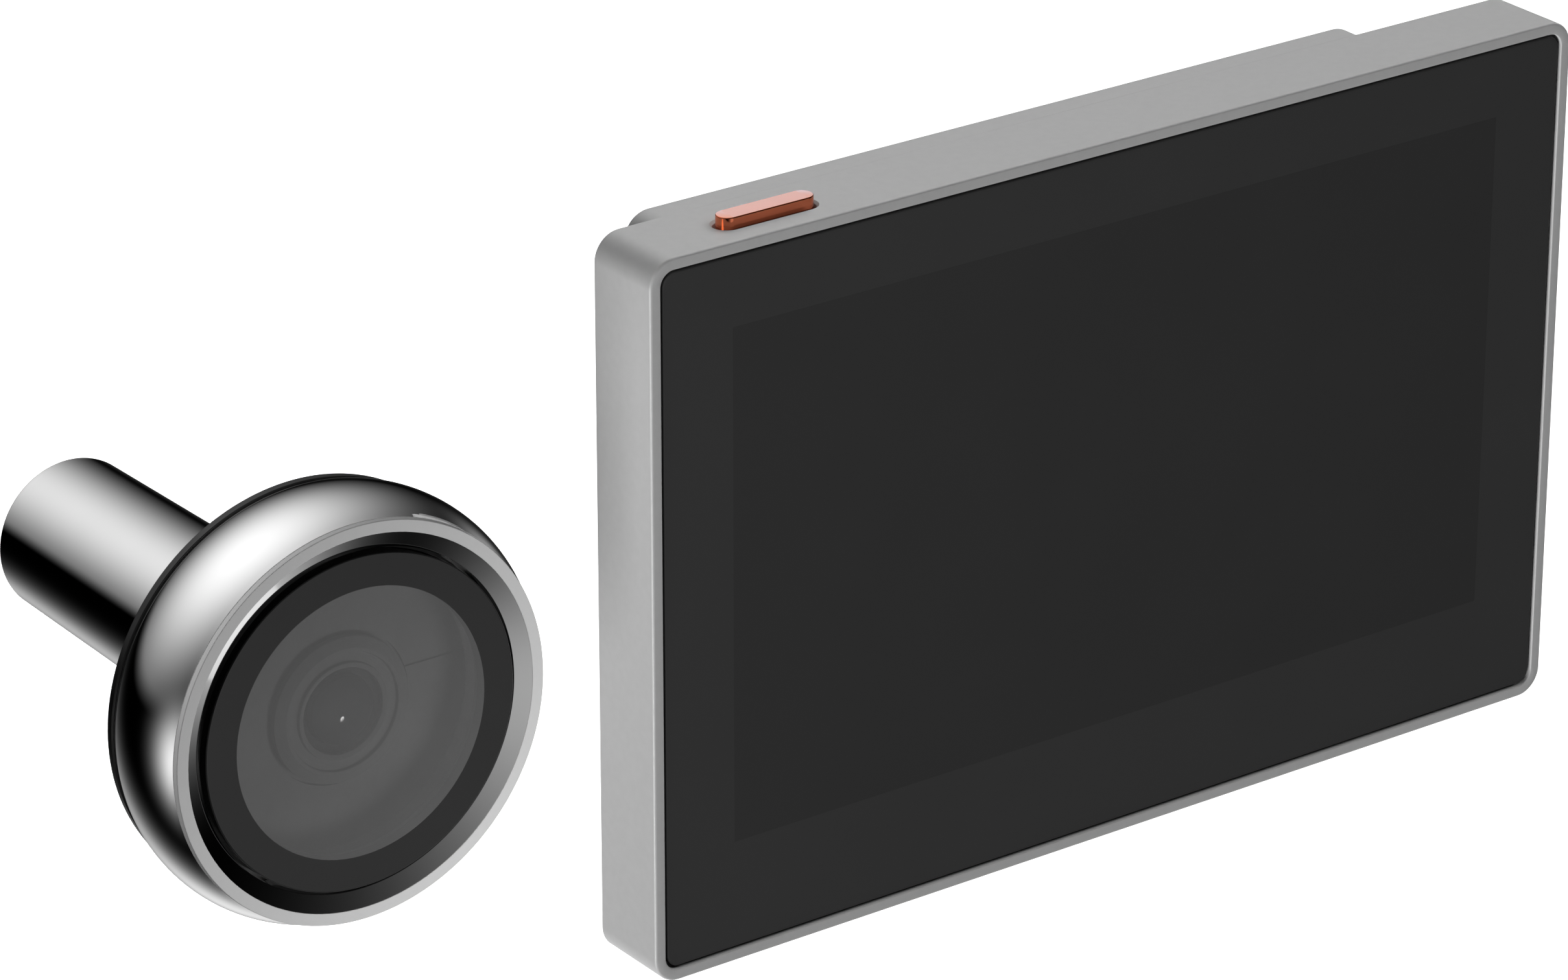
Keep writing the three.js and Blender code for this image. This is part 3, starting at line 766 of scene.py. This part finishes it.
def studio_lamps():
    outdoor = [piece for piece in bpy.data.objects if piece.type == "MESH" and piece.name in OUTDOOR_PIECES]
    rest = [piece for piece in bpy.data.objects if piece.type == "MESH" and piece not in outdoor]
    left = broad_lamp("left_lamp", *LEFT_LAMP)
    left.light_linking.receiver_collection = group_of("lit_from_left", rest)
    left.light_linking.blocker_collection = group_of("shades_left", rest)
    right = broad_lamp("right_lamp", *RIGHT_LAMP)
    ring = named("satin_ring")
    behind_ring = [piece for piece in rest + outdoor if piece not in ring]
    right.light_linking.receiver_collection = group_of("lit_from_right", behind_ring)
    front = broad_lamp("front_lamp", *FRONT_LAMP)
    front.light_linking.receiver_collection = group_of("lit_from_front", rest)
    # lights the ring's outer side from behind, past the bulging body
    side = broad_lamp("ring_lamp", *RING_LAMP)
    side.light_linking.receiver_collection = group_of("ring_pieces", ring)
    side.light_linking.blocker_collection = group_of("shades_ring", ring)
    # the rest are seen only as reflections, each in one kind of piece
    copper = group_of("copper_pieces", named("call_button_cap"))
    reflected("copper_lamp", COPPER_LAMP, copper, color=COPPER_LAMP_COLOR)
    reflected("copper_end_lamp", COPPER_END_LAMP, copper, copper, COPPER_END_COLOR)
    lens = group_of("lens_pieces", named("front_element"))
    reflected("lens_lamp", LENS_LAMP, lens)
    edges = group_of("edge_pieces", named("frame_shell"))
    reflected("edge_lamp", EDGE_LAMP, edges, edges)
    trim = group_of("trim_pieces", named("polished_bevel"))
    reflected("trim_lamp", TRIM_LAMP, trim, lens)
    head = lamp("head_lamp", "AREA", HEAD_LAMP_POWER, False)
    head.data.shape = "DISK"
    head.data.size = HEAD_LAMP_SIZE
    head.location = Vector((HEAD_X, FRONT_Y, 0)) + HEAD_LAMP_AT
    head.rotation_euler = HEAD_LAMP_AT.to_track_quat("Z", "Y").to_euler()
    head.light_linking.receiver_collection = group_of("outdoor_pieces", outdoor)


def floor():
    bpy.ops.mesh.primitive_plane_add(size=FLOOR_SIZE, location=(0, 0, FLOOR_Z))
    plane = bpy.context.object
    plane.name = "studio_floor"
    material = plain("pale_floor", (0.93, 0.93, 0.93), 0.004, 0.0, 0.7, 0.02, 3)
    shader = material.node_tree.nodes["Principled BSDF"]
    shader.inputs["Emission Color"].default_value = grey(1.0)
    shader.inputs["Emission Strength"].default_value = 1.0
    plane.data.materials.append(material)
    plane.visible_glossy = False
    plane.visible_diffuse = False
    plane.visible_shadow = False
    plane.visible_transmission = False


def camera():
    data = bpy.data.cameras.new("camera")
    data.lens = CAMERA_LENS
    data.sensor_width = SENSOR_WIDTH
    data.clip_end = 50
    eye = bpy.data.objects.new("camera", data)
    bpy.context.scene.collection.objects.link(eye)
    target = Vector((FRAME_LOW[0] + WALL, FRONT_Y, FRAME_LOW[2] + WALL)) + AIM
    flat = math.cos(CAMERA_ELEVATION)
    back = Vector((
        math.sin(CAMERA_AZIMUTH) * flat, -math.cos(CAMERA_AZIMUTH) * flat, math.sin(CAMERA_ELEVATION),
    ))
    eye.location = target + back * CAMERA_DISTANCE
    eye.rotation_euler = (-back).to_track_quat("-Z", "Y").to_euler()
    bpy.context.scene.camera = eye


# ======================================================================================
# the object
# ======================================================================================
camera()
studio_world()
floor()
bpy.context.scene.view_settings.view_transform = "Standard"

monitor_frame()
screen()
call_button()
rear_shell()
usb_socket()
for i, (sx, sz) in enumerate(CORNERS):
    screw_head(f"case_screw_cross_{i + 1}", MON_X + sx * CASE_SCREW_X, sz * CASE_SCREW_Z, 9.85, 10.45, 1.55, 0.8, 5.0,
               "monitor", f"case_screw_{i + 1}", 1)

head_body()
head_rings()
barrel()
lens_stack()
bell_face()
for i in range(3):
    angle = math.pi / 2 + 2 * math.pi * i / 3
    screw_head(f"flange_screw_cross_{i + 1}", HEAD_X + 15 * MM * math.cos(angle), 15 * MM * math.sin(angle),
               12.15, 12.65, 1.6, 0.9, 10.1, "outdoor_unit", f"flange_screw_{i + 1}", 1)

door_plate()
for side, name in ((-1, "left"), (1, "right")):
    screw_head(f"door_screw_{name}", STEP_X + side * 18 * MM, -12 * MM, 11.8, 12.35, 2.7, 1.5, 25.2, "door_plate",
               f"plate_screw_{name}", -1)

dress(GASKET, "glass_gasket", "board_spacer_tape", "battery_tape", "speaker_gasket", "face_seal")
dress(DISPLAY_BLACK, "lcd_panel", "image_sensor")
dress(FOIL, "lcd_frame", "shield_can", "battery_pack")
dress(BOARD, "main_board", "switch_board", "sensor_board")
dress(BLACK_PLASTIC, "ribbon_socket", "display_connector", "speaker", "call_switch", "bell_switch")
dress(SCREW_STEEL, "microphone")
dress(BRASS, "wifi_antenna")

studio_lamps()
